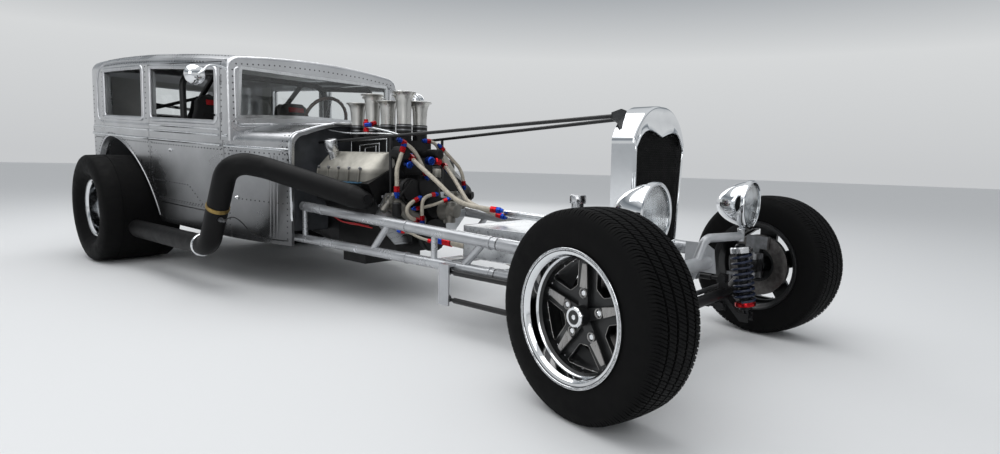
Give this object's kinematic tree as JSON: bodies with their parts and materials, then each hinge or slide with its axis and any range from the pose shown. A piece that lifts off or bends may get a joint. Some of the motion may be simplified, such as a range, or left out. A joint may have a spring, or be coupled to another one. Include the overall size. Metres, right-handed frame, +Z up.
{
  "type": "street rod sedan",
  "caption": "Stretched two-door street rod with a chopped sedan cabin, exposed V8, tube chassis, opening doors, steered front wheels and turning rear wheels.",
  "frame": {"origin": "on the ground, under the middle of the car's length and width", "axes": "+Y towards the tail, -Y towards the nose, +X the car's left side, +Z up"},
  "size_m": [1.9654, 5.2428, 1.5044],
  "materials": {
    "bare_steel": "bare brushed sheet metal with swirl marks",
    "frame_paint": "satin silver-grey paint on the tube chassis",
    "nose_bracket": "satin silver paint on the front cross tube and hoops",
    "dark_panel": "smooth dark grey firewall paint",
    "floor_paint": "satin dark paint under and inside the floor",
    "polished": "polished chrome",
    "glass": "clear window glass",
    "lens": "clear fluted lens",
    "cast_alloy": "natural cast aluminium",
    "machined_alloy": "machined and spun aluminium",
    "tank_alloy": "brushed sheet aluminium",
    "engine_black": "satin black engine paint",
    "exhaust_black": "satin black heat coating",
    "chassis_black": "satin black axle and driveline paint",
    "mesh_black": "black wire mesh over the core",
    "rod_steel": "plain steel rods and joints",
    "spring_blue": "dark blue powder coat",
    "wheel_alloy": "polished wheel rims with black centres",
    "tyre": "black tyre rubber",
    "black_trim": "black stitched seat cloth",
    "dash_trim": "black padded dash roll",
    "cage_paint": "satin dark paint on the roll cage",
    "steering_rim": "dark wood rim"
  },
  "bodies": {
    "chassis": {"frame_rails": "frame_paint", "front_crossmember": "nose_bracket", "body_shell": "bare_steel", "firewall": "dark_panel", "floor_pan": "floor_paint", "windscreen_frame": "machined_alloy", "window_glass": "glass", "engine_block": "engine_black", "motor_plate": "tank_alloy", "valve_covers": "cast_alloy", "injection_manifold": "engine_black", "velocity_stacks": "machined_alloy", "front_drive": "engine_black", "exhausts": "exhaust_black", "drive_line": "chassis_black", "rear_axle": "chassis_black", "radiator_shell": "polished", "radiator_core": "mesh_black", "fuel_tanks": "tank_alloy", "cowl_struts": "chassis_black", "front_axle": "chassis_black", "four_bar_links": "chassis_black", "front_coilovers": "spring_blue", "headlamp_shells": "polished", "headlamp_lenses": "lens", "seats": "black_trim", "roll_cage": "cage_paint", "dashboard": "dash_trim", "steering_wheel": "steering_rim", "mirrors": "polished"},
    "left_door": {"door_left": "bare_steel"},
    "right_door": {"door_right": "bare_steel"},
    "left_knuckle": {"knuckle_left": "rod_steel"},
    "right_knuckle": {"knuckle_right": "rod_steel"},
    "steering_link": {"tie_rod": "rod_steel"},
    "front_left_wheel": {"tyre_front_left": "tyre", "rim_front_left": "wheel_alloy"},
    "front_right_wheel": {"tyre_front_right": "tyre", "rim_front_right": "wheel_alloy"},
    "rear_left_wheel": {"tyre_rear_left": "tyre", "rim_rear_left": "wheel_alloy"},
    "rear_right_wheel": {"tyre_rear_right": "tyre", "rim_rear_right": "wheel_alloy"}
  },
  "joints": [
    {"name": "steer_right", "type": "hinge", "parent": "chassis", "child": "right_knuckle", "pos_m": [-0.62111, -2.27054, 0.324], "axis": [0, 0, 1], "range_deg": [-16.5, 39.5]},
    {"name": "steer_left", "type": "hinge", "parent": "chassis", "child": "left_knuckle", "pos_m": [0.62111, -2.27054, 0.324], "axis": [0, 0, 1], "range_deg": [-16.5, 39.5]},
    {"name": "link_pivot", "type": "hinge", "parent": "right_knuckle", "child": "steering_link", "pos_m": [-0.59818, -2.15785, 0.224], "axis": [0, 0, 1], "range_deg": [-39.5, 16.5]},
    {"name": "spin_front_left", "type": "hinge", "parent": "left_knuckle", "child": "front_left_wheel", "pos_m": [0.724, -2.29147, 0.324], "axis": [0.9799, -0.1994, 0], "continuous": true},
    {"name": "spin_front_right", "type": "hinge", "parent": "right_knuckle", "child": "front_right_wheel", "pos_m": [-0.724, -2.2496, 0.324], "axis": [0.9799, -0.1994, 0], "continuous": true},
    {"name": "spin_rear_left", "type": "hinge", "parent": "chassis", "child": "rear_left_wheel", "pos_m": [0.73, 1.71946, 0.3746], "axis": [1, 0, 0], "continuous": true},
    {"name": "spin_rear_right", "type": "hinge", "parent": "chassis", "child": "rear_right_wheel", "pos_m": [-0.73, 1.71946, 0.3746], "axis": [1, 0, 0], "continuous": true},
    {"name": "open_left_door", "type": "hinge", "parent": "chassis", "child": "left_door", "pos_m": [0.61923, 0.39404, 0.85695], "axis": [0, -0.0436, 0.999], "range_deg": [-68, 0]},
    {"name": "open_right_door", "type": "hinge", "parent": "chassis", "child": "right_door", "pos_m": [-0.61923, 0.39404, 0.85695], "axis": [0, -0.0436, 0.999], "range_deg": [0, 68]}
  ],
  "couplings": [
    {"joint": "steer_left", "follows": "steer_right", "ratio": 1},
    {"joint": "link_pivot", "follows": "steer_right", "ratio": -1}
  ]
}
